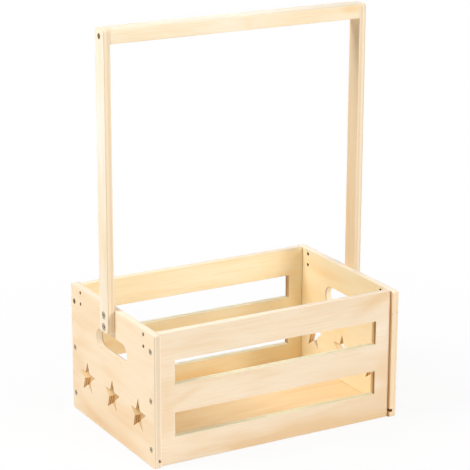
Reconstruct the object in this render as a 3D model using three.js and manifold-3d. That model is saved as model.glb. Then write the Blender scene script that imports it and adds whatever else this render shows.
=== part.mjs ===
// Plywood storage crate with a tall fixed carrying handle.
// Two end panels with a hand-hold, star cut-outs and rim holes close the ends of two slotted long walls,
// a thin base sits in grooves all round, and two uprights carry a crossbar above the crate.
// Millimetres, +Z up, X along the crate, front towards -Y, origin under the middle of the crate.
import * as THREE from "three";
import { mergeVertices } from "three/addons/utils/BufferGeometryUtils.js";
import Module from "manifold-3d";

const wasm = await Module();
wasm.setup();

// Crate
const crateLength = 300; // over the outer faces of the end panels
const crateDepth = 200; // the end panels' own width
const wallHeight = 147;
const plyThickness = 8; // end panels and long walls are cut from one sheet
const wallRecess = 4; // the long walls stand back from the end panels' edges
const endCornerRadius = 2.5;
const jointGap = 0.2; // between two boards that are screwed together

// Slots in the long walls, equally high between the rails
const slotCount = 2;
const slotMargin = 18; // from a wall's end to its slots
const bottomRail = 30;
const middleRail = 31;
const topRail = 32;

// Hand-hold in each end panel
const handholdLength = 74;
const handholdHeight = 22;
const handholdDrop = 42.5; // its centre below the rim

// Row of stars in each end panel
const starCount = 3;
const starPoints = 5;
const starOuterRadius = 19;
const starInnerRadius = 7.6;
const starInset = 38.5; // the outer stars' centres from the panel's front and back edges
const starLift = 46.9; // their centres above the floor

// Pairs of holes near the top corners of each end panel
const rimHoleDiameter = 3.6;
const rimHoleInset = 24; // from the panel's front and back edges
const rimHoleDrop = 5.2; // the upper hole below the rim
const rimHolePitch = 13;

// Base
const baseThickness = 3;
const baseLift = 6.5; // the underside of the base above the floor
const grooveDepth = 3.5;
const grooveClearance = 0.3; // above the base and at its edges

// Handle
const uprightWidth = 20;
const uprightThickness = 8;
const uprightLap = 26; // down the end panel from the rim
const uprightCornerRadius = 4;
const handleRise = 301; // from the rim to the top of the handle
const crossbarHeight = 16;
const crossbarEdgeRadius = 1.5;

// Countersunk wood screws
const cornerHeadDiameter = 6;
const cornerShankDiameter = 3;
const cornerScrewInset = 19.5; // the first and last screw from the panel's bottom and top edges
const cornerScrewCount = 3; // at each corner of the crate
const uprightHeadDiameter = 8;
const uprightShankDiameter = 4;
const uprightScrewInset = 6.5; // from the upright's bottom end and from the rim
const uprightScrewCount = 2; // in the lap of each upright
const crossbarHeadDiameter = 6;
const crossbarShankDiameter = 3;
const crossbarScrewLength = 30;
const tipCover = 1.2; // wood left ahead of a screw's tip
const screwSink = 0.3; // the head below the wood
const screwClearance = 0.2; // between a screw and its hole
const headRim = 0.4; // straight edge of a countersunk head
const tipLength = 5;
const recessSpan = 3.2; // the cross recess over its arms
const recessWidth = 0.9; // one arm
const recessDepth = 1.3;

// Facets and cutters
const roundSegments = 16; // screws and round holes
const arcSegments = 8; // a quarter turn of a rounded outline
const overrun = 2; // a cutter past the surface that it opens

// Sizes that follow from those above
const halfDepth = crateDepth / 2;
const wallLength = crateLength - 2 * (plyThickness + jointGap);
const wallOuterY = halfDepth - wallRecess;
const slotLength = wallLength - 2 * slotMargin;
const railsHeight = bottomRail + (slotCount - 1) * middleRail + topRail;
const slotHeight = (wallHeight - railsHeight) / slotCount;
const grooveHeight = baseThickness + grooveClearance;
const baseLength = crateLength - 2 * (plyThickness - grooveDepth + grooveClearance);
const baseDepth = 2 * (wallOuterY - plyThickness + grooveDepth - grooveClearance);
const uprightBottom = wallHeight - uprightLap;
const handleTop = wallHeight + handleRise;
const crossbarBottom = handleTop - crossbarHeight;
const panelHeadX = screwSink - crateLength / 2;
const uprightInnerX = -crateLength / 2 - jointGap;
const uprightHeadX = uprightInnerX - uprightThickness + screwSink;
const cornerScrewY = wallOuterY - plyThickness / 2;
const crossbarScrewZ = handleTop - crossbarHeight / 2;
const cornerScrew = {
  headDiameter: cornerHeadDiameter,
  shankDiameter: cornerShankDiameter,
  length: plyThickness + jointGap + slotMargin - tipCover - screwSink,
};
const uprightScrew = {
  headDiameter: uprightHeadDiameter,
  shankDiameter: uprightShankDiameter,
  length: uprightThickness + jointGap + plyThickness - tipCover - screwSink,
};
const crossbarScrew = {
  headDiameter: crossbarHeadDiameter,
  shankDiameter: crossbarShankDiameter,
  length: crossbarScrewLength,
};

// Evenly spaced places from the first to the last
function evenly(count, first, last) {
  if (count === 1) {
    return [(first + last) / 2];
  }
  return Array.from({ length: count }, (_, index) => first + ((last - first) * index) / (count - 1));
}

const starYs = evenly(starCount, starInset - halfDepth, halfDepth - starInset);
const cornerScrewZs = evenly(cornerScrewCount, cornerScrewInset, wallHeight - cornerScrewInset);
const uprightScrewZs = evenly(
  uprightScrewCount, uprightBottom + uprightScrewInset, wallHeight - uprightScrewInset,
);

// Finishes
const birchPly = { color: 0xeacda0, roughness: 0.62, metalness: 0 };
const thinPly = { color: 0xe6c893, roughness: 0.66, metalness: 0 };
const paleBatten = { color: 0xf0d9ad, roughness: 0.6, metalness: 0 };
const zincSteel = { color: 0x8f8a80, roughness: 0.38, metalness: 1 };

// Solids and cuts

function toSolid(geometry) {
  const bare = geometry.clone();
  bare.deleteAttribute("normal");
  bare.deleteAttribute("uv");
  const merged = mergeVertices(bare, 1e-4);
  return new wasm.Manifold(new wasm.Mesh({
    numProp: 3,
    vertProperties: new Float32Array(merged.getAttribute("position").array),
    triVerts: new Uint32Array(merged.index.array),
  }));
}

function toGeometry(solid) {
  const mesh = solid.getMesh();
  const geometry = new THREE.BufferGeometry();
  geometry.setAttribute("position", new THREE.BufferAttribute(mesh.vertProperties, 3));
  geometry.setIndex(new THREE.BufferAttribute(mesh.triVerts, 1));
  geometry.computeVertexNormals();
  return geometry;
}

function cutAway(geometry, cutters) {
  let solid = toSolid(geometry);
  for (const cutter of cutters) {
    solid = solid.subtract(toSolid(cutter));
  }
  return toGeometry(solid);
}

function boxFrom(xLow, xHigh, yLow, yHigh, zLow, zHigh) {
  const box = new THREE.BoxGeometry(xHigh - xLow, yHigh - yLow, zHigh - zLow);
  return box.translate((xLow + xHigh) / 2, (yLow + yHigh) / 2, (zLow + zHigh) / 2);
}

// Outlines

function cornered(path, corners) {
  path.setFromPoints(corners.map(([x, y]) => new THREE.Vector2(x, y)));
  path.closePath();
  return path;
}

function rectangle(path, left, bottom, width, height) {
  const right = left + width;
  const top = bottom + height;
  return cornered(path, [[left, bottom], [right, bottom], [right, top], [left, top]]);
}

function roundedRectangle(path, left, bottom, width, height, radius) {
  const right = left + width;
  const top = bottom + height;
  const quarter = Math.PI / 2;
  path.absarc(right - radius, bottom + radius, radius, -quarter, 0, false);
  path.absarc(right - radius, top - radius, radius, 0, quarter, false);
  path.absarc(left + radius, top - radius, radius, quarter, 2 * quarter, false);
  path.absarc(left + radius, bottom + radius, radius, 2 * quarter, 3 * quarter, false);
  path.closePath();
  return path;
}

// A closed outline round a centre, through each of the radii in turn, the first one pointing up
function around(centreX, centreY, radii) {
  const corners = radii.map((radius, index) => {
    const angle = Math.PI / 2 + (2 * Math.PI * index) / radii.length;
    return [centreX + radius * Math.cos(angle), centreY + radius * Math.sin(angle)];
  });
  return cornered(new THREE.Path(), corners);
}

function star(centreX, centreY) {
  return around(centreX, centreY, Array(starPoints).fill([starOuterRadius, starInnerRadius]).flat());
}

function roundHole(centreX, centreY, diameter) {
  return around(centreX, centreY, Array(roundSegments).fill(diameter / 2));
}

function extrude(shape, depth) {
  const settings = { depth, steps: 1, bevelEnabled: false, curveSegments: arcSegments };
  return new THREE.ExtrudeGeometry(shape, settings);
}

// An outline over Y and Z, with its thickness along +X
function boardAcross(shape, thickness) {
  const turn = new THREE.Matrix4().makeBasis(
    new THREE.Vector3(0, 1, 0), new THREE.Vector3(0, 0, 1), new THREE.Vector3(1, 0, 0),
  );
  return extrude(shape, thickness).applyMatrix4(turn);
}

// An outline over X and Z, with its thickness along +Y
function boardAlong(shape, thickness) {
  return extrude(shape, thickness).rotateX(Math.PI / 2).translate(0, thickness, 0);
}

// Screws lie along +X with the top of the head at the origin

function revolveAlongX(profile) {
  const points = profile.map(([radius, along]) => new THREE.Vector2(radius, -along));
  return new THREE.LatheGeometry(points.reverse(), roundSegments).rotateZ(Math.PI / 2);
}

// The countersink is right-angled, so its cone is as deep as it is wide on one side
function headDepth(screw) {
  return headRim + (screw.headDiameter - screw.shankDiameter) / 2;
}

function screwGeometry(screw) {
  const headRadius = screw.headDiameter / 2;
  const shankRadius = screw.shankDiameter / 2;
  const body = revolveAlongX([
    [0, 0],
    [headRadius, 0],
    [headRadius, headRim],
    [shankRadius, headDepth(screw)],
    [shankRadius, screw.length - tipLength],
    [0, screw.length],
  ]);
  const reach = recessSpan / 2;
  const half = recessWidth / 2;
  return cutAway(body, [
    boxFrom(-overrun, recessDepth, -reach, reach, -half, half),
    boxFrom(-overrun, recessDepth, -half, half, -reach, reach),
  ]);
}

// The hole has the form of its screw, wider by the clearance and open at the head
function screwHole(screw, x, y, z) {
  const headRadius = screw.headDiameter / 2 + screwClearance;
  const shankRadius = screw.shankDiameter / 2 + screwClearance;
  const end = screw.length + screwClearance;
  return revolveAlongX([
    [0, -overrun],
    [headRadius, -overrun],
    [headRadius, headRim + screwClearance],
    [shankRadius, headDepth(screw) + screwClearance],
    [shankRadius, end],
    [0, end],
  ]).translate(x, y, z);
}

// Boards, each drawn where it stands at the left or at the front of the crate

function endPanelGeometry() {
  const shape = roundedRectangle(
    new THREE.Shape(), -halfDepth, 0, crateDepth, wallHeight, endCornerRadius,
  );
  const handholdBottom = wallHeight - handholdDrop - handholdHeight / 2;
  shape.holes.push(roundedRectangle(
    new THREE.Path(), -handholdLength / 2, handholdBottom, handholdLength, handholdHeight,
    handholdHeight / 2,
  ));
  for (const y of starYs) {
    shape.holes.push(star(y, starLift));
  }
  const outerX = -crateLength / 2;
  const innerX = outerX + plyThickness;
  const cutters = [boxFrom(
    innerX - grooveDepth, innerX + overrun, -halfDepth - overrun, halfDepth + overrun,
    baseLift, baseLift + grooveHeight,
  )];
  for (const side of [-1, 1]) {
    for (const drop of [rimHoleDrop, rimHoleDrop + rimHolePitch]) {
      shape.holes.push(roundHole(side * (halfDepth - rimHoleInset), wallHeight - drop, rimHoleDiameter));
    }
    for (const z of cornerScrewZs) {
      cutters.push(screwHole(cornerScrew, panelHeadX, side * cornerScrewY, z));
    }
  }
  for (const z of uprightScrewZs) {
    cutters.push(screwHole(uprightScrew, uprightHeadX, 0, z));
  }
  return cutAway(boardAcross(shape, plyThickness).translate(outerX, 0, 0), cutters);
}

function longWallGeometry() {
  const shape = rectangle(new THREE.Shape(), -wallLength / 2, 0, wallLength, wallHeight);
  for (let index = 0; index < slotCount; index += 1) {
    const bottom = bottomRail + index * (slotHeight + middleRail);
    shape.holes.push(rectangle(new THREE.Path(), -slotLength / 2, bottom, slotLength, slotHeight));
  }
  const innerY = plyThickness - wallOuterY;
  const cutters = [boxFrom(
    -wallLength / 2 - overrun, wallLength / 2 + overrun, innerY - grooveDepth, innerY + overrun,
    baseLift, baseLift + grooveHeight,
  )];
  for (const z of cornerScrewZs) {
    cutters.push(screwHole(cornerScrew, panelHeadX, -cornerScrewY, z));
    cutters.push(screwHole(cornerScrew, panelHeadX, cornerScrewY, z).rotateZ(Math.PI));
  }
  return cutAway(boardAlong(shape, plyThickness).translate(0, -wallOuterY, 0), cutters);
}

function uprightGeometry() {
  const shape = roundedRectangle(
    new THREE.Shape(), -uprightWidth / 2, uprightBottom, uprightWidth, handleTop - uprightBottom,
    uprightCornerRadius,
  );
  const cutters = [screwHole(crossbarScrew, uprightHeadX, 0, crossbarScrewZ)];
  for (const z of uprightScrewZs) {
    cutters.push(screwHole(uprightScrew, uprightHeadX, 0, z));
  }
  const outerX = uprightInnerX - uprightThickness;
  return cutAway(boardAcross(shape, uprightThickness).translate(outerX, 0, 0), cutters);
}

function crossbarGeometry() {
  const section = roundedRectangle(
    new THREE.Shape(), -uprightWidth / 2, crossbarBottom, uprightWidth, crossbarHeight,
    crossbarEdgeRadius,
  );
  return cutAway(boardAcross(section, crateLength).translate(-crateLength / 2, 0, 0), [
    screwHole(crossbarScrew, uprightHeadX, 0, crossbarScrewZ),
    screwHole(crossbarScrew, uprightHeadX, 0, crossbarScrewZ).rotateZ(Math.PI),
  ]);
}

function baseGeometry() {
  return boxFrom(
    -baseLength / 2, baseLength / 2, -baseDepth / 2, baseDepth / 2, baseLift, baseLift + baseThickness,
  );
}

// Assembly

function piece(name, geometry, finish, x = 0, y = 0, z = 0) {
  const mesh = new THREE.Mesh(geometry, new THREE.MeshStandardMaterial(finish));
  mesh.name = name;
  mesh.position.set(x, y, z);
  return mesh;
}

const endPanel = endPanelGeometry();
const longWall = longWallGeometry();
const upright = uprightGeometry();
const cornerScrewForm = screwGeometry(cornerScrew);
const uprightScrewForm = screwGeometry(uprightScrew);
const crossbarScrewForm = screwGeometry(crossbarScrew);

// One end of the crate with its upright and all its screws, numbered from the bottom.
// It is drawn as the left end. Turned half round it is the right end, so its front lies at +Y here.
function crateEnd(side, turn, frontSide) {
  const end = new THREE.Group();
  end.add(piece(side + "_end_panel", endPanel, birchPly));
  end.add(piece(side + "_upright", upright, paleBatten));
  for (const [wall, y] of [["front", frontSide * cornerScrewY], ["back", -frontSide * cornerScrewY]]) {
    cornerScrewZs.forEach((z, index) => {
      const name = [side, wall, "screw", index + 1].join("_");
      end.add(piece(name, cornerScrewForm, zincSteel, panelHeadX, y, z));
    });
  }
  uprightScrewZs.forEach((z, index) => {
    const name = [side, "upright", "screw", index + 1].join("_");
    end.add(piece(name, uprightScrewForm, zincSteel, uprightHeadX, 0, z));
  });
  end.add(piece(side + "_crossbar_screw", crossbarScrewForm, zincSteel, uprightHeadX, 0, crossbarScrewZ));
  end.rotation.z = turn;
  return end;
}

const backWall = piece("back_wall", longWall, birchPly);
backWall.rotation.z = Math.PI;

const crate = new THREE.Group();
crate.name = "storage_crate";
crate.add(crateEnd("left", 0, -1));
crate.add(crateEnd("right", Math.PI, 1));
crate.add(piece("front_wall", longWall, birchPly));
crate.add(backWall);
crate.add(piece("base_panel", baseGeometry(), thinPly));
crate.add(piece("crossbar", crossbarGeometry(), paleBatten));

export default crate;
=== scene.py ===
"""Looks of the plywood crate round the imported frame: eased boards with cut-outs, screws and wood grain."""
import math

import bmesh
import bpy
from mathutils import Matrix, Vector
from mathutils.geometry import tessellate_polygon


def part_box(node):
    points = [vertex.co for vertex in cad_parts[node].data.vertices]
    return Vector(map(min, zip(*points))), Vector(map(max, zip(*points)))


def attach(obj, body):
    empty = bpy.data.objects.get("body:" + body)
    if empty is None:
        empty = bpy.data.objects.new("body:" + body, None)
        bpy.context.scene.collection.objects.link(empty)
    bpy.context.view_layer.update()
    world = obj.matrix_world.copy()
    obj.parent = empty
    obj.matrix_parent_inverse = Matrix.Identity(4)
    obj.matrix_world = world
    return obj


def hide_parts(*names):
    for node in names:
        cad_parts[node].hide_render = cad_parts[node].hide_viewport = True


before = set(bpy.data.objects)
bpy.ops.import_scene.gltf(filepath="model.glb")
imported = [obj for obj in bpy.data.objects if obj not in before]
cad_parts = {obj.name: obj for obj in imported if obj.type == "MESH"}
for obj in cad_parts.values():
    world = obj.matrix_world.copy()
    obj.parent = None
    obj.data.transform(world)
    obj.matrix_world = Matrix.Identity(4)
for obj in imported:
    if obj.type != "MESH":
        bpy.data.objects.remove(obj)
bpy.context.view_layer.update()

MM = 0.001

# Sizes in millimetres, as in the solids
PLY = 8.0
BASE = 3.0
END_CORNER = 2.5
SLOT_MARGIN = 18.0
SLOTS = ((30.0, 57.0), (88.0, 115.0))
HANDHOLD_LENGTH = 74.0
HANDHOLD_HEIGHT = 22.0
HANDHOLD_Z = 104.5
STAR_POINTS = 5
STAR_YS = (-61.5, 0.0, 61.5)
STAR_Z = 46.9
STAR_OUTER = 19.0
STAR_INNER = 7.6
RIM_HOLE_Y = 76.0
RIM_HOLE_ZS = (141.8, 128.8)
RIM_HOLE_RADIUS = 1.8
GROOVE_DEPTH = 3.5
GROOVE_LOW = 6.5
GROOVE_HIGH = 9.8
UPRIGHT_CORNER = 4.0
CROSSBAR_CORNER = 1.5

# Places of the screws, and the room round them
CORNER_SCREW_Y = 92.0
CORNER_SCREW_ZS = (19.5, 73.5, 127.5)
UPRIGHT_SCREW_ZS = (127.5, 140.5)
SCREW_SINK = 0.3
SCREW_CLEARANCE = 0.2

# Head and shank radius of the three screws, and how far each goes into its second board
CORNER_SCREW = (3.0, 1.5)
UPRIGHT_SCREW = (4.0, 2.0)
CROSSBAR_SCREW = (3.0, 1.5)
CORNER_BITE = 17.2
UPRIGHT_BITE = 7.0
CROSSBAR_BITE = 22.4

# A screw's head and point in millimetres, and its recess as shares of the head's radius
HEAD_RIM = 0.4
HEAD_BEVEL = 0.25
HEAD_BEVEL_DEPTH = 0.2
POINT_LENGTH = 5.0
POINT_RADIUS = 0.2
RECESS_DEPTH = 1.3
RECESS_ARM = 0.14
RECESS_REACH = 0.52
RECESS_TAPER = 0.62
# Two screws whose heads are rougher and painted darker and browner than the rest: the darkness is painted
# shade
DULL_SHADED_SCREWS = ("left_back_screw_3", "left_crossbar_screw")

# A board's material slots: faces and edges, walls of cut-outs, screw holes, hand-hold and groove
SKIN = 0
CUT_WALL = 1
BORED = 2
ROUTED = 3
GROOVED = 4

# A screw's material slots
STEEL = 0
RECESS = 1

# Eased edges in millimetres
EASE = 0.6
HOLE_EASE = 0.4
DRILL_EASE = 0.2
BASE_EASE = 0.3
CROSSBAR_EASE = 0.1
SHARP_ANGLE = math.radians(50.0)

# Steps of round forms
EASE_STEPS = 2
CORNER_STEPS = 6
BATTEN_STEPS = 5
HANDHOLD_STEPS = 10
RIM_HOLE_STEPS = 16
BORE_STEPS = 20
SOCKET_STEPS = 24
SCREW_STEPS = 32

# Turns outlines before they are filled, so that the fill's sweep meets no row of points at once
SWEEP_TURN = math.radians(23.0)
SWEEP_AXIS = (1.0, 1.0, 1.0)

# How far cutters reach past a face in millimetres, and what counts as nothing
OVERSHOOT = 1.0
SAME_POINT = 1e-6
LEAST_MITRE = 1e-3
LEAST_CROSS = 1e-14

# Outlines as lists of points, in millimetres


def rectangle(left, bottom, right, top):
    return [(left, bottom), (right, bottom), (right, top), (left, top)]


def rounded(left, bottom, right, top, radius, steps):
    """A rectangle with round corners, anticlockwise."""
    points = []
    corners = (
        (right - radius, bottom + radius, -90.0),
        (right - radius, top - radius, 0.0),
        (left + radius, top - radius, 90.0),
        (left + radius, bottom + radius, 180.0),
    )
    for x, y, first in corners:
        for step in range(steps + 1):
            angle = math.radians(first + 90.0 * step / steps)
            point = (x + radius * math.cos(angle), y + radius * math.sin(angle))
            if not points or math.dist(points[-1], point) > SAME_POINT:
                points.append(point)
    if math.dist(points[0], points[-1]) < SAME_POINT:
        points.pop()
    return points


def around(x, y, radii):
    """A closed outline through each radius in turn, the first pointing up."""
    points = []
    for index, radius in enumerate(radii):
        angle = math.pi / 2 + 2 * math.pi * index / len(radii)
        points.append((x + radius * math.cos(angle), y + radius * math.sin(angle)))
    return points


def circle(x, y, radius, steps):
    return around(x, y, [radius] * steps)


def signed_area(points):
    total = 0.0
    for (x0, y0), (x1, y1) in zip(points, points[1:] + points[:1]):
        total += x0 * y1 - x1 * y0
    return total / 2


def turned(points, anticlockwise):
    return points if (signed_area(points) > 0) == anticlockwise else points[::-1]


def inset(points, distance):
    """The outline moved to its left by a distance, with mitred corners."""
    moved = []
    count = len(points)
    for index in range(count):
        before = Vector(points[index - 1])
        here = Vector(points[index])
        after = Vector(points[(index + 1) % count])
        first = (here - before).normalized()
        second = (after - here).normalized()
        left = Vector((-first.y - second.y, first.x + second.x))
        reach = max(left.length_squared / 2, LEAST_MITRE)
        shift = here + left * (distance / reach)
        moved.append((shift.x, shift.y))
    return moved


# Boards


class Placement:
    """Where a board stands: its outline's two axes, and its depth from the outer face inwards."""

    def __init__(self, origin, right, up, inward):
        self.origin = Vector(origin)
        self.axes = (Vector(right), Vector(up), Vector(inward))

    def point(self, u, v, w):
        right, up, inward = self.axes
        return (self.origin + right * u + up * v + inward * w) * MM


def link(name, mesh, materials, body="root"):
    piece = bpy.data.objects.new(name, mesh)
    bpy.context.scene.collection.objects.link(piece)
    for material in materials:
        mesh.materials.append(material)
    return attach(piece, body)


def ring(bm, place, points, w):
    return [bm.verts.new(place.point(u, v, w)) for u, v in points]


def band(bm, first, second, index):
    """Faces with one material between two rings."""
    count = len(first)
    for k in range(count):
        following = (k + 1) % count
        face = bm.faces.new((first[k], first[following], second[following], second[k]))
        face.smooth = True
        face.material_index = index


def cap(bm, rings):
    """Flat triangles over the first ring, leaving the others open."""
    verts = [vert for part in rings for vert in part]
    skew = Matrix.Rotation(SWEEP_TURN, 3, SWEEP_AXIS)
    loops = [[skew @ vert.co for vert in part] for part in rings]
    for triangle in tessellate_polygon(loops):
        corners = [verts[k] for k in triangle]
        sides = (corners[1].co - corners[0].co, corners[2].co - corners[0].co)
        if sides[0].cross(sides[1]).length > LEAST_CROSS:
            bm.faces.new(corners)


def eased_wall(bm, place, points, thickness, ease, index):
    """The side of one outline, round at both faces. Returns the rings on the outer and inner face."""
    profile = []
    for step in range(EASE_STEPS + 1):
        angle = math.pi / 2 * step / EASE_STEPS
        profile.append((ease * (1 - math.sin(angle)), ease * (1 - math.cos(angle))))
    levels = profile + [(side, thickness - w) for side, w in reversed(profile)]
    rings = [ring(bm, place, inset(points, side), w) for side, w in levels]
    for first, second in zip(rings, rings[1:]):
        band(bm, first, second, index)
    return rings[0], rings[-1]


def countersunk(bm, place, x, y, screw_form, thickness):
    """A screw hole through a board, countersunk in the outer face. Returns its rings on both faces."""
    head_radius, shank_radius = screw_form
    wide = head_radius + SCREW_CLEARANCE
    narrow = shank_radius + SCREW_CLEARANCE
    depth = HEAD_RIM + SCREW_SINK
    profile = ((wide, 0.0), (wide, depth), (narrow, depth + wide - narrow), (narrow, thickness))
    rings = []
    for radius, w in profile:
        rings.append(ring(bm, place, turned(circle(x, y, radius, SOCKET_STEPS), False), w))
    for first, second in zip(rings, rings[1:]):
        band(bm, first, second, BORED)
    return rings[0], rings[-1]


def finish_mesh(bm, name):
    bmesh.ops.recalc_face_normals(bm, faces=bm.faces)
    for edge in bm.edges:
        edge.smooth = len(edge.link_faces) != 2 or edge.calc_face_angle() < SHARP_ANGLE
    mesh = bpy.data.meshes.new(name)
    bm.to_mesh(mesh)
    bm.free()
    return mesh


def board(name, place, outline, holes, sockets, thickness, materials, ease=EASE):
    """A sheet cut to an outline, with through holes and countersunk screw holes, and all its edges eased.
    Each hole is an outline with the index of its walls' material and its own easing."""
    bm = bmesh.new()
    faces = [eased_wall(bm, place, turned(outline, True), thickness, ease, SKIN)]
    for points, index, hole_ease in holes:
        faces.append(eased_wall(bm, place, turned(points, False), thickness, hole_ease, index))
    for x, y, screw_form in sockets:
        faces.append(countersunk(bm, place, x, y, screw_form, thickness))
    cap(bm, [outer for outer, inner in faces])
    cap(bm, [inner for outer, inner in faces])
    return link(name, finish_mesh(bm, name), materials)


def paint(made, index):
    """Gives one material to the faces of a new cutter."""
    for face in {face for vert in made["verts"] for face in vert.link_faces}:
        face.material_index = index


def box_tool(bm, low, high, index):
    """A cutter between two corners in millimetres."""
    size = (Vector(high) - Vector(low)) * MM
    centre = (Vector(high) + Vector(low)) / 2 * MM
    form = Matrix.Translation(centre) @ Matrix.Diagonal((*size, 1.0))
    paint(bmesh.ops.create_cube(bm, size=1.0, matrix=form), index)


def bore_tool(bm, x0, x1, y, z, radius):
    """A round cutter along X, in millimetres."""
    turn = Matrix.Translation(Vector(((x0 + x1) / 2, y, z)) * MM) @ Matrix.Rotation(math.pi / 2, 4, "Y")
    made = bmesh.ops.create_cone(
        bm, cap_ends=True, segments=BORE_STEPS, radius1=radius * MM, radius2=radius * MM,
        depth=abs(x1 - x0) * MM, matrix=turn,
    )
    paint(made, BORED)


def cut_away(piece, tools):
    """Takes the cutters out of a piece and keeps the cut mesh."""
    mesh = bpy.data.meshes.new("cutters")
    bmesh.ops.recalc_face_normals(tools, faces=tools.faces)
    tools.to_mesh(mesh)
    tools.free()
    for material in piece.data.materials:
        mesh.materials.append(material)
    cutter = bpy.data.objects.new("cutters", mesh)
    bpy.context.scene.collection.objects.link(cutter)
    cut = piece.modifiers.new("cut", "BOOLEAN")
    cut.operation = "DIFFERENCE"
    cut.solver = "EXACT"
    cut.object = cutter
    graph = bpy.context.evaluated_depsgraph_get()
    made = bpy.data.meshes.new_from_object(piece.evaluated_get(graph))
    piece.modifiers.clear()
    old = piece.data
    piece.data = made
    bpy.data.meshes.remove(old)
    made.name = piece.name
    bpy.data.objects.remove(cutter)
    bpy.data.meshes.remove(mesh)


# Screws


def screw(name, node, form, materials):
    """A countersunk wood screw with a cross recess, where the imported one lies."""
    head_radius, shank_radius = form
    low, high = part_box(node)
    length = (high.x - low.x) / MM
    sign = 1.0 if low.x < 0 else -1.0
    head_x = low.x if sign > 0 else high.x
    place = Matrix.Translation((head_x, (low.y + high.y) / 2, (low.z + high.z) / 2))
    place = place @ Matrix.Diagonal((sign * MM, sign * MM, MM, 1.0))
    profile = (
        (head_radius - HEAD_BEVEL, 0.0),
        (head_radius, HEAD_BEVEL_DEPTH),
        (head_radius, HEAD_RIM),
        (shank_radius, HEAD_RIM + head_radius - shank_radius),
        (shank_radius, length - POINT_LENGTH),
        (POINT_RADIUS, length),
    )
    bm = bmesh.new()
    rings = []
    for radius, along in profile:
        rings.append([bm.verts.new((along, y, z)) for y, z in circle(0, 0, radius, SCREW_STEPS)])
    for first, second in zip(rings, rings[1:]):
        band(bm, first, second, STEEL)
    bm.faces.new(rings[-1])
    arm = RECESS_ARM * head_radius
    reach = RECESS_REACH * head_radius
    cross = []
    for quarter in range(4):
        angle = quarter * math.pi / 2
        cosine = math.cos(angle)
        sine = math.sin(angle)
        for a, b in ((reach, -arm), (reach, arm), (arm, arm)):
            cross.append((a * cosine - b * sine, a * sine + b * cosine))
    mouth = [bm.verts.new((0.0, y, z)) for y, z in cross]
    floor = [bm.verts.new((RECESS_DEPTH, y * RECESS_TAPER, z * RECESS_TAPER)) for y, z in cross]
    band(bm, mouth, floor, RECESS)
    bm.faces.new(floor).material_index = RECESS
    cap(bm, [rings[0], mouth])
    bm.transform(place)
    return link(name, finish_mesh(bm, name), materials)


# Materials


class Tree:
    """A material's nodes, with short calls for those that it needs."""

    def __init__(self, name):
        self.material = bpy.data.materials.new(name)
        self.material.use_nodes = True
        self.nodes = self.material.node_tree.nodes
        self.links = self.material.node_tree.links
        self.shader = self.nodes["Principled BSDF"]

    def feed(self, target, value):
        if isinstance(value, bpy.types.NodeSocket):
            self.links.new(value, target)
        elif value is not None:
            target.default_value = value

    def coordinate(self, kind):
        """The point or the normal in the frame's axes, by its letters."""
        source = self.nodes.new("ShaderNodeTexCoord")
        return self.split(source.outputs[kind])

    def math(self, operation, a, b=None, c=None):
        node = self.nodes.new("ShaderNodeMath")
        node.operation = operation
        for target, value in zip(node.inputs, (a, b, c)):
            self.feed(target, value)
        return node.outputs[0]

    def between(self, value, low, high, out_low=0.0, out_high=1.0):
        """A value carried from one range to another, and kept inside it."""
        node = self.nodes.new("ShaderNodeMapRange")
        given = {"Value": value, "From Min": low, "From Max": high, "To Min": out_low, "To Max": out_high}
        for key in given:
            self.feed(node.inputs[key], given[key])
        return node.outputs[0]

    def combine(self, x, y, z):
        node = self.nodes.new("ShaderNodeCombineXYZ")
        for target, value in zip(node.inputs, (x, y, z)):
            self.feed(target, value)
        return node.outputs[0]

    def split(self, vector):
        node = self.nodes.new("ShaderNodeSeparateXYZ")
        self.feed(node.inputs[0], vector)
        return dict(zip("XYZ", node.outputs))

    def noise(self, vector, detail, roughness):
        node = self.nodes.new("ShaderNodeTexNoise")
        self.feed(node.inputs["Vector"], vector)
        node.inputs["Scale"].default_value = 1.0
        node.inputs["Detail"].default_value = detail
        node.inputs["Roughness"].default_value = roughness
        return node.outputs["Fac"]

    def speckle(self, place, scale, detail, roughness):
        """Noise that is the same in all directions."""
        scaled = [self.math("MULTIPLY", place[axis], scale) for axis in "XYZ"]
        return self.noise(self.combine(*scaled), detail, roughness)

    def ramp(self, value, stops, interpolation="LINEAR"):
        node = self.nodes.new("ShaderNodeValToRGB")
        self.feed(node.inputs[0], value)
        node.color_ramp.interpolation = interpolation
        elements = node.color_ramp.elements
        while len(elements) < len(stops):
            elements.new(0.5)
        for element, (place, colour) in zip(elements, stops):
            element.position = place
            element.color = (*colour, 1.0)
        return node.outputs[0]

    def mix(self, share, a, b):
        node = self.nodes.new("ShaderNodeMix")
        node.data_type = "RGBA"
        self.feed(node.inputs[0], share)
        for target, value in zip((node.inputs[6], node.inputs[7]), (a, b)):
            self.feed(target, (*value, 1.0) if isinstance(value, tuple) else value)
        return node.outputs[2]

    def bump(self, height, strength, distance):
        node = self.nodes.new("ShaderNodeBump")
        node.inputs["Strength"].default_value = strength
        node.inputs["Distance"].default_value = distance
        self.feed(node.inputs["Height"], height)
        self.feed(self.shader.inputs["Normal"], node.outputs[0])


def srgb(red, green, blue):
    """A colour written as it looks on screen, from 0 to 255, as the shader's own linear values."""
    def linear(value):
        value /= 255.0
        return value / 12.92 if value <= 0.04045 else ((value + 0.055) / 1.055) ** 2.4
    return (linear(red), linear(green), linear(blue))


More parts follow.
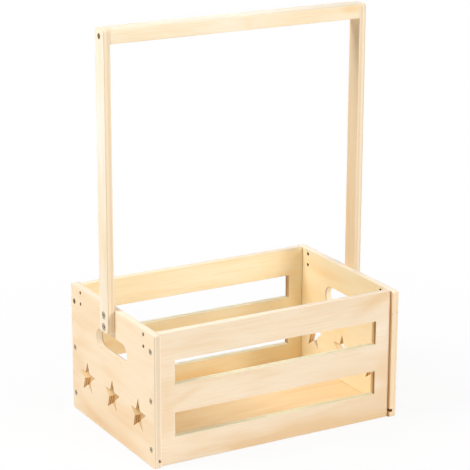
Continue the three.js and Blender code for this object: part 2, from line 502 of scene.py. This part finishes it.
# Wood tones, pale to warm
PANEL = (srgb(254, 235, 207), srgb(253, 230, 197), srgb(246, 212, 168))
WALL = (srgb(248, 231, 208), srgb(244, 224, 196), srgb(236, 204, 161))
# Inner faces of the end panels and long walls, painted paler than the outer faces: painted light
PAINTED_LIGHT_INSIDE = (srgb(255, 245, 215), srgb(255, 239, 202), srgb(251, 222, 170))
STRIP = (srgb(253, 244, 230), srgb(249, 233, 206), srgb(243, 215, 172))
# Inner faces of the uprights, painted darker and warmer than the outer faces: painted shade
STRIP_INSIDE_SHADED = (srgb(253, 234, 204), srgb(249, 222, 182), srgb(243, 204, 150))
BATTEN = (srgb(254, 241, 215), srgb(253, 235, 203), srgb(248, 217, 168))
# Top face of the crossbar, painted darker and greyer than its front: painted shade
BATTEN_TOP_SHADED = (srgb(240, 226, 206), srgb(236, 222, 200), srgb(230, 212, 184))
SHEET = (srgb(251, 229, 190), srgb(248, 220, 176), srgb(241, 204, 153))

# Tones of cut edges: a light and a dark ply across the grain, and a light ply along it
EDGE = (srgb(249, 232, 206), srgb(206, 172, 132), srgb(252, 234, 210))
RIGHT_EDGE = (srgb(253, 234, 202), srgb(226, 178, 122), srgb(254, 240, 216))
STRIP_EDGE = (srgb(246, 228, 203), srgb(206, 170, 126), srgb(250, 230, 199))
CUT = (srgb(254, 220, 166), srgb(166, 108, 46), srgb(255, 230, 184))
# The slots' walls: their light ply along the grain is paler than other cuts, partly the cut's own tone and
# partly painted light on sills that get little light
SLOT = (srgb(246, 208, 154), srgb(174, 126, 68), srgb(255, 247, 213))
RIM = (srgb(253, 235, 206), srgb(156, 124, 78), srgb(253, 235, 206))

# Small gaps between plies, and painted shade on the narrow strip of an end panel outside a long wall, darkest
# in its corner
GAP = srgb(118, 84, 48)
PAINTED_RECESS_SHADE = srgb(196, 130, 40)

# Dark and light tone of drilled holes; of those of the right panel, near black as painted shade; and of the
# end panels' grooves
BORED_TONES = (srgb(124, 84, 38), srgb(176, 128, 66))
SHADED_HOLE_TONES = (srgb(48, 28, 6), srgb(84, 52, 18))
GROOVE_TONES = (srgb(146, 98, 40), srgb(190, 140, 74))

# Colour and roughness of the screws and their recess
BRIGHT_STEEL = (srgb(218, 203, 178), 0.42)
# Those two heads: rougher steel, with painted shade in their darker colour
DULL_SHADED_STEEL = (srgb(160, 140, 110), 0.5)
RECESS_STEEL = (srgb(86, 74, 58), 0.5)

# Plies of an edge: each one's share of the thickness, and how dark it looks
# These are counted from the outer face inwards
LEFT_PLIES = ((0.14, 0.60), (0.18, 0.08), (0.24, 0.36), (0.27, 0.42), (0.17, 0.02))
RIGHT_PLIES = ((0.10, 0.40), (0.14, 0.0), (0.06, 0.80), (0.70, 0.28))
RIGHT_TOP_PLIES = ((0.30, 0.04), (0.70, 0.0))
STAR_PLIES = ((0.12, 0.60), (0.20, 0.25), (0.10, 0.85), (0.24, 0.30), (0.10, 0.85), (0.24, 0.35))
RIM_PLIES = ((0.08, 0.15), (0.76, 0.0), (0.16, 0.55))
SLOT_END_PLIES = ((0.45, 0.85), (0.55, 0.22))
STRIP_PLIES = ((0.14, 0.46), (0.42, 0.08), (0.26, 0.32), (0.18, 0.04))

# These are counted along the axis
WALL_PLIES = ((0.20, 0.70), (0.20, 0.15), (0.20, 0.75), (0.20, 0.20), (0.20, 0.70))
SLOT_PLIES = ((0.40, 0.0), (0.07, 0.20), (0.53, 0.0))
BASE_PLIES = ((0.33, 0.70), (0.34, 0.10), (0.33, 0.70))

# Share of a glue line, how much darker it is than its ply, and how far the plies waver
GLUE_LINE = 0.025
GLUE_DARK = 0.45
PLY_WAVER = 0.025
LONG_SIDE_DARK = 0.20

# Grain noises: scale along and across the grain, shift, detail and roughness
SWELL = (4.6, 17.0, 0.0, 2.0, 0.4)
STREAKS = (10.0, 150.0, 11.0, 3.0, 0.6)
FIBRES = (60.0, 1900.0, 23.0, 2.0, 0.6)
PATCHES = (5.0, 13.0, 37.0, 1.0, 0.5)
LINES = (22.0, 620.0, 53.0, 2.0, 0.6)
GAPS = (260.0, 260.0, 71.0, 1.0, 0.5)
SEED_ALONG = 3.7
SEED_ACROSS = 1.9
SEED_LAYER = 5.3

# Even noises: scale, detail and roughness
PORES = (800.0, 2.0, 0.6)
STEEL_GRAIN = (900.0, 3.0, 0.6)
DRILL_MARKS = (700.0, 2.0, 0.6)

# How much each noise moves the tone
MIDDLE_TONE = 0.42
BAND_WAVES = 40.0
BAND_TONE = 0.13
STREAK_TONE = 0.16
PATCH_TONE = 0.30
FIBRE_TONE = 0.16
RULED = 0.45
PANEL_RULED = 0.2
RAGGED = 0.4
GAP_SHARE = 0.75
# Strength of the painted shade on that strip, in its corner and at its brim
RECESS_SHADE_CORNER = 0.9
RECESS_SHADE_BRIM = 0.4

# Surface of the wood, the steel and the holes
WOOD_ROUGHNESS = (0.55, 0.68)
WOOD_SPECULAR = 0.25
FIBRE_HEIGHT = 0.6
STREAK_HEIGHT = 0.4
BUMP_STRENGTH = 0.2
WOOD_BUMP = 0.0002
STEEL_BUMP = 0.00005
STEEL_METALLIC = 0.85
STEEL_DULLED = 0.75
SMOOTHER = 0.08
ROUGHER = 0.1
HOLE_ROUGHNESS = 0.8

# Placed figure: place along and across the grain, half length and half width in millimetres,
# how much warmer, and turn in degrees
PANEL_SPOTS = (
    (-65.0, 88.0, 50.0, 35.0, -0.35, 0.0),
    (75.0, 88.0, 32.0, 32.0, 0.3, 0.0),
    (60.0, 10.0, 60.0, 14.0, 0.3, 0.0),
    (-30.0, 4.0, 90.0, 14.0, 0.45, 0.0),
    (10.0, 76.0, 30.0, 12.0, 0.3, 0.0),
    (40.0, 130.0, 60.0, 22.0, 0.3, 0.0),
)
LEFT_UPRIGHT_SPOTS = (
    (370.0, 0.0, 150.0, 40.0, -0.35, 0.0),
    (215.0, 0.0, 60.0, 40.0, 0.45, 0.0),
)
WALL_SPOTS = (
    (30.0, 4.0, 190.0, 24.0, 0.3, 0.0),
    (116.0, 135.0, 46.0, 11.0, 0.4, 24.0),
    (10.0, 131.0, 110.0, 22.0, -0.4, 0.0),
    (134.0, 108.0, 22.0, 14.0, -0.4, 26.0),
    (-134.0, 73.0, 14.0, 40.0, 0.25, 0.0),
    (136.0, 60.0, 16.0, 50.0, 0.25, 0.0),
    (60.0, 20.0, 40.0, 14.0, -0.3, 0.0),
    (-114.0, 72.0, 28.0, 6.0, 0.4, 21.0),
    (-20.0, 14.0, 260.0, 26.0, 0.3, 0.0),
    (-20.0, 5.0, 80.0, 7.0, 0.5, 2.0),
    (-90.0, 9.0, 40.0, 6.0, 0.4, -3.0),
)

# Those of the crossbar have their height from its middle
CROSSBAR_SPOTS = (
    (11.0, -2.0, 8.0, 10.0, 0.35, 0.0),
    (139.0, 3.5, 18.0, 6.0, 0.6, 0.0),
    (-120.0, 0.0, 90.0, 14.0, 0.1, 0.0),
)


def darkness(tree, depth, plies):
    """How dark an edge looks at a depth, with a thin glue line between two plies."""
    stops = []
    reached = 0.0
    for share, dark in plies:
        stops.append((reached, dark))
        reached += share
        stops.append((reached - GLUE_LINE, min(dark + GLUE_DARK, 1.0)))
    stops.pop()
    return tree.ramp(depth, [(place, (dark, dark, dark)) for place, dark in stops], "CONSTANT")


def spotted(tree, tone, lengthways, sideways, streaks, spots):
    """The tone with placed figure added, whose rims follow the streaks."""
    for u, v, long, wide, strength, angle in spots:
        shift = tree.math("SUBTRACT", lengthways, u * MM)
        climb = tree.math("SUBTRACT", sideways, v * MM)
        cosine = math.cos(math.radians(angle)) / MM
        sine = math.sin(math.radians(angle)) / MM
        ahead = tree.math("MULTIPLY", shift, cosine / long)
        along = tree.math("ADD", ahead, tree.math("MULTIPLY", climb, sine / long))
        upward = tree.math("MULTIPLY", climb, cosine / wide)
        side = tree.math("SUBTRACT", upward, tree.math("MULTIPLY", shift, sine / wide))
        squares = tree.math("ADD", tree.math("POWER", along, 2.0), tree.math("POWER", side, 2.0))
        ragged = tree.between(streaks, 0.2, 0.8, -RAGGED, RAGGED)
        away = tree.math("ADD", tree.math("SQRT", squares), ragged)
        tone = tree.math("ADD", tone, tree.between(away, 0.0, 1.0, strength, 0.0))
    return tone


def wood(name, grain, layer, start, thickness, seed, tones, plies=None, edge=EDGE, spots=(), painted_light_face=None,
         lengthwise=None, ruled=RULED, recess_shade=None):
    """Wood in the frame's own axes: grain along one, plies stacked along another from a start in millimetres.
    One face of a board can be given its own tones and the way it faces: painted light where they are paler,
    painted shade where they are darker.
    The plies are those seen across the grain; others may be given for the edges that run with it.
    A recess shade is painted shade on a strip of that face between two distances along the grain, darker
    towards the first."""
    tree = Tree(name)
    place = tree.coordinate("Object")
    normal = tree.coordinate("Normal")
    across = next(letter for letter in "XYZ" if letter not in (grain, layer))

    def grainwise(form):
        along, side, shift, detail, roughness = form
        vector = tree.combine(
            tree.math("MULTIPLY_ADD", place[grain], along, seed * SEED_ALONG + shift),
            tree.math("MULTIPLY_ADD", place[across], side, seed * SEED_ACROSS),
            tree.math("MULTIPLY_ADD", place[layer], side, seed * SEED_LAYER),
        )
        return tree.noise(vector, detail, roughness)

    swell = grainwise(SWELL)
    bands = tree.math("SINE", tree.math("MULTIPLY", swell, BAND_WAVES))
    streaks = grainwise(STREAKS)
    fibres = grainwise(FIBRES)
    patches = grainwise(PATCHES)
    lines = grainwise(LINES)

    tone = tree.math("MULTIPLY_ADD", bands, BAND_TONE, MIDDLE_TONE)
    tone = tree.math("ADD", tone, tree.between(streaks, 0.25, 0.75, -STREAK_TONE, STREAK_TONE))
    tone = tree.math("ADD", tone, tree.between(patches, 0.25, 0.75, -PATCH_TONE, PATCH_TONE))
    tone = spotted(tree, tone, place[grain], place[across], streaks, spots)
    fine = tree.between(fibres, 0.3, 0.75, 0.0, FIBRE_TONE)
    fine = tree.math("ADD", fine, tree.between(lines, 0.5, 0.75, 0.0, ruled))

    def veneer(shades):
        pale, middle, warm = shades
        return tree.mix(fine, tree.ramp(tone, ((0.0, pale), (0.5, middle), (1.0, warm))), warm)

    face = veneer(tones)
    # Painted light and shade: one face gets its own paler or darker tones, blended in by the way it faces
    if painted_light_face:
        shades, axis, sign = painted_light_face
        share = tree.between(tree.math("MULTIPLY", normal[axis], sign), 0.3, 0.7)
        inner = veneer(shades)
        # Painted shade in the recess where an end panel's inner face meets a long wall
        if recess_shade:
            corner, brim = recess_shade
            reach = tree.math("ABSOLUTE", place[grain])
            shade = tree.between(reach, corner * MM, brim * MM, RECESS_SHADE_CORNER, RECESS_SHADE_BRIM)
            shade = tree.math("MULTIPLY", shade, tree.math("GREATER_THAN", reach, corner * MM))
            inner = tree.mix(shade, inner, PAINTED_RECESS_SHADE)
        face = tree.mix(share, face, inner)

    colour = face
    if plies:
        depth = tree.math("DIVIDE", tree.math("SUBTRACT", place[layer], start * MM), thickness * MM)
        depth = tree.math("ADD", depth, tree.between(swell, 0.2, 0.8, -PLY_WAVER, PLY_WAVER))
        dark_end = darkness(tree, depth, plies)
        if lengthwise:
            dark_side = darkness(tree, depth, lengthwise)
        else:
            dark_side = tree.math("MULTIPLY_ADD", dark_end, -LONG_SIDE_DARK, LONG_SIDE_DARK)
        pores = tree.between(tree.speckle(place, *PORES), 0.3, 0.7, 0.75, 1.1)
        light, deep, pale = edge
        cross = tree.mix(tree.math("MULTIPLY", dark_end, pores), light, deep)
        gaps = tree.between(grainwise(GAPS), 0.735, 0.775, 0.0, GAP_SHARE)
        cross = tree.mix(gaps, cross, GAP)
        long_side = tree.mix(tree.math("MULTIPLY", dark_side, pores), pale, deep)
        endwise = tree.between(tree.math("ABSOLUTE", normal[grain]), 0.6, 0.9)
        flat = tree.between(tree.math("ABSOLUTE", normal[layer]), 0.6, 0.8)
        colour = tree.mix(flat, tree.mix(endwise, long_side, cross), face)
    tree.feed(tree.shader.inputs["Base Color"], colour)
    tree.feed(tree.shader.inputs["Roughness"], tree.between(streaks, 0.3, 0.7, *WOOD_ROUGHNESS))
    tree.shader.inputs["Specular IOR Level"].default_value = WOOD_SPECULAR
    height = tree.math("MULTIPLY_ADD", fibres, FIBRE_HEIGHT, tree.math("MULTIPLY", streaks, STREAK_HEIGHT))
    tree.bump(height, BUMP_STRENGTH, WOOD_BUMP)
    return tree.material


def steel(name, shade, roughness):
    """Plated steel with fine dull marks."""
    tree = Tree(name)
    fine = tree.speckle(tree.coordinate("Object"), *STEEL_GRAIN)
    dull = tuple(STEEL_DULLED * value for value in shade)
    tree.feed(tree.shader.inputs["Base Color"], tree.mix(tree.between(fine, 0.35, 0.65), dull, shade))
    rough = tree.between(fine, 0.3, 0.7, roughness - SMOOTHER, roughness + ROUGHER)
    tree.feed(tree.shader.inputs["Roughness"], rough)
    tree.shader.inputs["Metallic"].default_value = STEEL_METALLIC
    tree.bump(fine, BUMP_STRENGTH, STEEL_BUMP)
    return tree.material


def drilled(name, tones):
    """The walls of small holes and grooves, browned by the tool; in the near-black tones this is painted
    shade instead.
    """
    tree = Tree(name)
    fine = tree.speckle(tree.coordinate("Object"), *DRILL_MARKS)
    dark, light = tones
    tree.feed(tree.shader.inputs["Base Color"], tree.mix(tree.between(fine, 0.3, 0.7), dark, light))
    tree.shader.inputs["Roughness"].default_value = HOLE_ROUGHNESS
    return tree.material


# The crate's boards: the ends and the long walls by name, way inwards and seed of the grain
ENDS = (("left", 1.0, 1.0), ("right", -1.0, 2.0))
WALLS = (("front", 1.0, 5.0), ("back", -1.0, 6.0))
UPRIGHT_SEED = 2.0
BASE_SEED = 7.0
CROSSBAR_SEED = 8.0


def boxed(node):
    low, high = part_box(node)
    return low / MM, high / MM


def inwards(plies, sign):
    """Plies counted from the outer face, in the order in which they lie along the axis."""
    return plies if sign > 0 else plies[::-1]


def groove_reach(outer, sign):
    """From the floor of a groove to past the inner face of its board, lower end first."""
    inner = outer + sign * PLY
    return sorted((inner - sign * GROOVE_DEPTH, inner + sign * OVERSHOOT))


def panel_holes():
    low = HANDHOLD_Z - HANDHOLD_HEIGHT / 2
    half = HANDHOLD_LENGTH / 2
    handhold = rounded(-half, low, half, low + HANDHOLD_HEIGHT, HANDHOLD_HEIGHT / 2, HANDHOLD_STEPS)
    holes = [(handhold, ROUTED, HOLE_EASE)]
    for y in STAR_YS:
        star = around(y, STAR_Z, [STAR_OUTER, STAR_INNER] * STAR_POINTS)
        holes.append((star, CUT_WALL, HOLE_EASE))
    for side in (-1, 1):
        for z in RIM_HOLE_ZS:
            hole = circle(side * RIM_HOLE_Y, z, RIM_HOLE_RADIUS, RIM_HOLE_STEPS)
            holes.append((hole, BORED, DRILL_EASE))
    return holes


def end_panel(side, sign, seed, drill, grooved):
    node = side + "_end_panel"
    low, high = boxed(node)
    outer = low.x if sign > 0 else high.x
    left = sign > 0
    wall_low = boxed("front_wall")[0]
    rim_plies = inwards(RIM_PLIES, sign)
    skin = wood(
        node, "Y", "X", low.x, PLY, seed, PANEL, inwards(LEFT_PLIES if left else RIGHT_PLIES, sign),
        # The inner face gets painted light
        EDGE if left else RIGHT_EDGE, PANEL_SPOTS, (PAINTED_LIGHT_INSIDE, "X", sign),
        lengthwise=None if left else inwards(RIGHT_TOP_PLIES, sign), ruled=PANEL_RULED,
        # Painted shade on the inner face beyond the long walls
        recess_shade=(abs(wall_low.y), high.y),
    )
    cut = wood(node + "_cut", "Y", "X", low.x, PLY, seed, PANEL, inwards(STAR_PLIES, sign), CUT)
    routed = wood(node + "_rim", "Y", "X", low.x, PLY, seed, PANEL, rim_plies, RIM, lengthwise=rim_plies)
    place = Placement((outer, 0, 0), (0, -sign, 0), (0, 0, 1), (sign, 0, 0))
    outline = rounded(low.y, low.z, high.y, high.z, END_CORNER, CORNER_STEPS)
    sockets = [(end * CORNER_SCREW_Y, z, CORNER_SCREW) for end in (-1, 1) for z in CORNER_SCREW_ZS]
    woods = [skin, cut, drill, routed, grooved]
    piece = board(node + "_board", place, outline, panel_holes(), sockets, PLY, woods)
    tools = bmesh.new()
    near, far = groove_reach(outer, sign)
    box_tool(
        tools, (near, low.y - OVERSHOOT, GROOVE_LOW), (far, high.y + OVERSHOOT, GROOVE_HIGH), GROOVED,
    )
    radius = UPRIGHT_SCREW[1] + SCREW_CLEARANCE
    for z in UPRIGHT_SCREW_ZS:
        bore_tool(tools, outer - sign * OVERSHOOT, outer + sign * UPRIGHT_BITE, 0.0, z, radius)
    cut_away(piece, tools)
    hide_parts(node)


def upright(side, sign, seed, bored, grip):
    node = side + "_upright"
    low, high = boxed(node)
    outer = low.x if sign > 0 else high.x
    plies = inwards(STRIP_PLIES, sign)
    skin = wood(
        node, "Z", "X", low.x, PLY, seed + UPRIGHT_SEED, STRIP, plies, STRIP_EDGE,
        # The inner face gets painted shade
        LEFT_UPRIGHT_SPOTS if sign > 0 else (), (STRIP_INSIDE_SHADED, "X", sign), plies,
    )
    place = Placement((outer, 0, 0), (0, -sign, 0), (0, 0, 1), (sign, 0, 0))
    outline = rounded(low.y, low.z, high.y, high.z, UPRIGHT_CORNER, CORNER_STEPS)
    sockets = [(0.0, z, UPRIGHT_SCREW) for z in UPRIGHT_SCREW_ZS]
    sockets.append((0.0, grip, CROSSBAR_SCREW))
    piece = board(node + "_board", place, outline, [], sockets, PLY, [skin, skin, bored])
    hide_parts(node)


def long_wall(side, sign, seed, bored):
    node = side + "_wall"
    low, high = boxed(node)
    outer = low.y if sign > 0 else high.y
    # The inner face gets painted light
    skin = wood(node, "X", "Y", low.y, PLY, seed, WALL, WALL_PLIES, EDGE, WALL_SPOTS, (PAINTED_LIGHT_INSIDE, "Y", sign))
    end_plies = inwards(SLOT_END_PLIES, sign)
    cut = wood(node + "_cut", "X", "Y", low.y, PLY, seed, WALL, end_plies, SLOT, lengthwise=SLOT_PLIES)
    place = Placement((0, outer, 0), (sign, 0, 0), (0, 0, 1), (0, sign, 0))
    outline = rectangle(low.x, low.z, high.x, high.z)
    slots = [rectangle(low.x + SLOT_MARGIN, z0, high.x - SLOT_MARGIN, z1) for z0, z1 in SLOTS]
    holes = [(slot, CUT_WALL, HOLE_EASE) for slot in slots]
    piece = board(node + "_board", place, outline, holes, [], PLY, [skin, cut, bored])
    tools = bmesh.new()
    near, far = groove_reach(outer, sign)
    box_tool(tools, (low.x - OVERSHOOT, near, GROOVE_LOW), (high.x + OVERSHOOT, far, GROOVE_HIGH), BORED)
    middle = (low.y + high.y) / 2
    radius = CORNER_SCREW[1] + SCREW_CLEARANCE
    for z in CORNER_SCREW_ZS:
        bore_tool(tools, low.x - OVERSHOOT, low.x + CORNER_BITE, middle, z, radius)
        bore_tool(tools, high.x - CORNER_BITE, high.x + OVERSHOOT, middle, z, radius)
    cut_away(piece, tools)
    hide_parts(node)


def base():
    low, high = boxed("base_panel")
    skin = wood("base_panel", "X", "Z", low.z, BASE, BASE_SEED, SHEET, BASE_PLIES)
    place = Placement((0, 0, low.z), (-1, 0, 0), (0, 1, 0), (0, 0, 1))
    outline = rectangle(low.x, low.y, high.x, high.y)
    piece = board("base_panel_board", place, outline, [], [], BASE, [skin], BASE_EASE)
    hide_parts("base_panel")


def crossbar(bored, grip):
    low, high = boxed("crossbar")
    spots = [(u, grip + v, *figure) for u, v, *figure in CROSSBAR_SPOTS]
    skin = wood(
        "crossbar", "X", "Y", low.y, high.y - low.y, CROSSBAR_SEED, BATTEN,
        # The top face gets painted shade
        spots=spots, painted_light_face=(BATTEN_TOP_SHADED, "Z", 1.0),
    )
    place = Placement((low.x, 0, 0), (0, -1, 0), (0, 0, 1), (1, 0, 0))
    outline = rounded(low.y, low.z, high.y, high.z, CROSSBAR_CORNER, BATTEN_STEPS)
    woods = [skin, skin, bored]
    piece = board("crossbar_batten", place, outline, [], [], high.x - low.x, woods, CROSSBAR_EASE)
    tools = bmesh.new()
    radius = CROSSBAR_SCREW[1] + SCREW_CLEARANCE
    bore_tool(tools, low.x - OVERSHOOT, low.x + CROSSBAR_BITE, 0.0, grip, radius)
    bore_tool(tools, high.x - CROSSBAR_BITE, high.x + OVERSHOOT, 0.0, grip, radius)
    cut_away(piece, tools)
    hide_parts("crossbar")


def boards():
    bored = drilled("bored_wood", BORED_TONES)
    # Near-black walls for the right panel's holes: painted shade
    shaded_holes = drilled("shaded_hole_wood", SHADED_HOLE_TONES)
    grooved = drilled("grooved_wood", GROOVE_TONES)
    crossbar_low, crossbar_high = boxed("crossbar")
    grip = (crossbar_low.z + crossbar_high.z) / 2
    for side, sign, seed in ENDS:
        end_panel(side, sign, seed, bored if sign > 0 else shaded_holes, grooved)
        upright(side, sign, seed, bored, grip)
    for side, sign, seed in WALLS:
        long_wall(side, sign, seed, bored)
    base()
    crossbar(bored, grip)


def screw_form(node):
    if "upright" in node:
        return UPRIGHT_SCREW
    return CROSSBAR_SCREW if "crossbar" in node else CORNER_SCREW


def screws():
    bright = steel("zinc_steel", *BRIGHT_STEEL)
    dull = steel("dull_shaded_steel", *DULL_SHADED_STEEL)
    dark = steel("recess_steel", *RECESS_STEEL)
    for node in sorted(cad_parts):
        if "screw" not in node:
            continue
        # The two listed screws get the rougher head with painted shade
        head = dull if node in DULL_SHADED_SCREWS else bright
        piece = screw(node + "_steel", node, screw_form(node), [head, dark])
        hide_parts(node)


# Stage, light and camera, in metres and watts

# A white floor that keeps a faint shadow near the crate: it glows white with distance from the middle
FLOOR_HALF = 6.0
FLOOR_Z = -0.0003
FLOOR_GREY = (0.86, 0.86, 0.86, 1.0)
FLOOR_ROUGHNESS = 0.9
SHADOW_NEAR = 0.2
SHADOW_FAR = 0.6
NEAR_WHITE = 0.9
WHITE = (1.0, 1.0, 1.0, 1.0)

# How strongly the white world lights the crate
WORLD_LIGHT = 0.05

# Each lamp's place, the point that it faces, its width and height, and its power
LAMPS = (
    ("left_softbox", (-1.6, 0.25, 1.75), (0.0, 0.0, 0.2), 1.0, 1.0, 38.0),
    ("front_softbox", (1.5, -4.7, 1.4), (0.0, 0.0, 0.2), 1.3, 1.9, 106.0),
    ("fill_softbox", (-1.4, -2.1, 0.95), (0.0, 0.0, 0.2), 1.2, 1.2, 4.5),
    ("right_softbox", (3.2, -5.3, 3.3), (0.0, 0.0, 0.2), 3.4, 3.4, 84.0),
    ("high_softbox", (0.1, -0.4, 2.7), (0.0, 0.0, 0.1), 1.2, 1.2, 14.0),
    ("back_softbox", (1.1, 2.0, 1.4), (0.0, 0.0, 0.2), 1.2, 1.2, 14.0),
)

# Camera fitted to the photograph: turns in degrees, place, sensor in millimetres, and picture in pixels
CAMERA_AZIMUTH = -29.536
CAMERA_ELEVATION = 16.951
CAMERA_ROLL = 0.179
CAMERA_PLACE = (-0.98429, -1.73916, 0.81516)
SENSOR_WIDTH = 36.0
FOCAL_PIXELS = 1921.9
PICTURE_PIXELS = 470.0


def direct_view(nodes, links):
    """One on rays that carry the view, and nought on those that only carry light."""
    path = nodes.new("ShaderNodeLightPath")
    joined = path.outputs["Is Camera Ray"]
    for key in ("Is Glossy Ray", "Is Transmission Ray"):
        node = nodes.new("ShaderNodeMath")
        node.operation = "MAXIMUM"
        links.new(joined, node.inputs[0])
        links.new(path.outputs[key], node.inputs[1])
        joined = node.outputs[0]
    return joined


def stage():
    bm = bmesh.new()
    bmesh.ops.create_grid(bm, x_segments=1, y_segments=1, size=FLOOR_HALF)
    mesh = bpy.data.meshes.new("floor")
    bm.to_mesh(mesh)
    bm.free()
    floor = bpy.data.objects.new("floor", mesh)
    bpy.context.scene.collection.objects.link(floor)
    floor.location.z = FLOOR_Z
    tree = Tree("floor")
    mesh.materials.append(tree.material)
    tree.shader.inputs["Base Color"].default_value = FLOOR_GREY
    tree.shader.inputs["Roughness"].default_value = FLOOR_ROUGHNESS
    tree.shader.inputs["Specular IOR Level"].default_value = 0.0
    seen = direct_view(tree.nodes, tree.links)
    glow = tree.nodes.new("ShaderNodeEmission")
    glow.inputs["Strength"].default_value = 1.0
    mixed = tree.nodes.new("ShaderNodeMixShader")
    source = tree.nodes.new("ShaderNodeTexCoord")
    spread = tree.nodes.new("ShaderNodeVectorMath")
    spread.operation = "LENGTH"
    tree.feed(spread.inputs[0], source.outputs["Object"])
    white = tree.between(spread.outputs["Value"], SHADOW_NEAR, SHADOW_FAR, NEAR_WHITE, 1.0)
    tree.feed(mixed.inputs[0], tree.math("MULTIPLY", seen, white))
    tree.feed(mixed.inputs[1], tree.shader.outputs[0])
    tree.feed(mixed.inputs[2], glow.outputs[0])
    output = tree.nodes["Material Output"]
    tree.links.new(mixed.outputs[0], output.inputs["Surface"])

    world = bpy.context.scene.world or bpy.data.worlds.new("world")
    bpy.context.scene.world = world
    world.use_nodes = True
    nodes = world.node_tree.nodes
    links = world.node_tree.links
    strength = nodes.new("ShaderNodeMapRange")
    links.new(direct_view(nodes, links), strength.inputs["Value"])
    strength.inputs["To Min"].default_value = WORLD_LIGHT
    strength.inputs["To Max"].default_value = 1.0
    background = nodes["Background"]
    background.inputs["Color"].default_value = WHITE
    links.new(strength.outputs[0], background.inputs["Strength"])


def lamp(name, place, target, wide, tall, watts):
    data = bpy.data.lights.new(name, "AREA")
    data.shape = "ELLIPSE"
    data.size = wide
    data.size_y = tall
    data.energy = watts
    lit = bpy.data.objects.new(name, data)
    bpy.context.scene.collection.objects.link(lit)
    lit.location = place
    lit.rotation_euler = (Vector(target) - Vector(place)).to_track_quat("-Z", "Y").to_euler()


def camera():
    azimuth = math.radians(CAMERA_AZIMUTH)
    elevation = math.radians(CAMERA_ELEVATION)
    roll = math.radians(CAMERA_ROLL)
    flat = math.cos(elevation)
    forward = -Vector((math.sin(azimuth) * flat, -math.cos(azimuth) * flat, math.sin(elevation)))
    level = forward.cross(Vector((0, 0, 1))).normalized()
    upward = level.cross(forward)
    right = level * math.cos(roll) + upward * math.sin(roll)
    up = upward * math.cos(roll) - level * math.sin(roll)
    data = bpy.data.cameras.new("camera")
    data.sensor_width = SENSOR_WIDTH
    data.lens = SENSOR_WIDTH * FOCAL_PIXELS / PICTURE_PIXELS
    eye = bpy.data.objects.new("camera", data)
    bpy.context.scene.collection.objects.link(eye)
    turn = Matrix((right, up, -forward)).transposed()
    eye.matrix_world = Matrix.Translation(CAMERA_PLACE) @ turn.to_4x4()
    bpy.context.scene.camera = eye


camera()
boards()
screws()
stage()
for given in LAMPS:
    lamp(*given)

bpy.context.scene.view_settings.view_transform = "Standard"
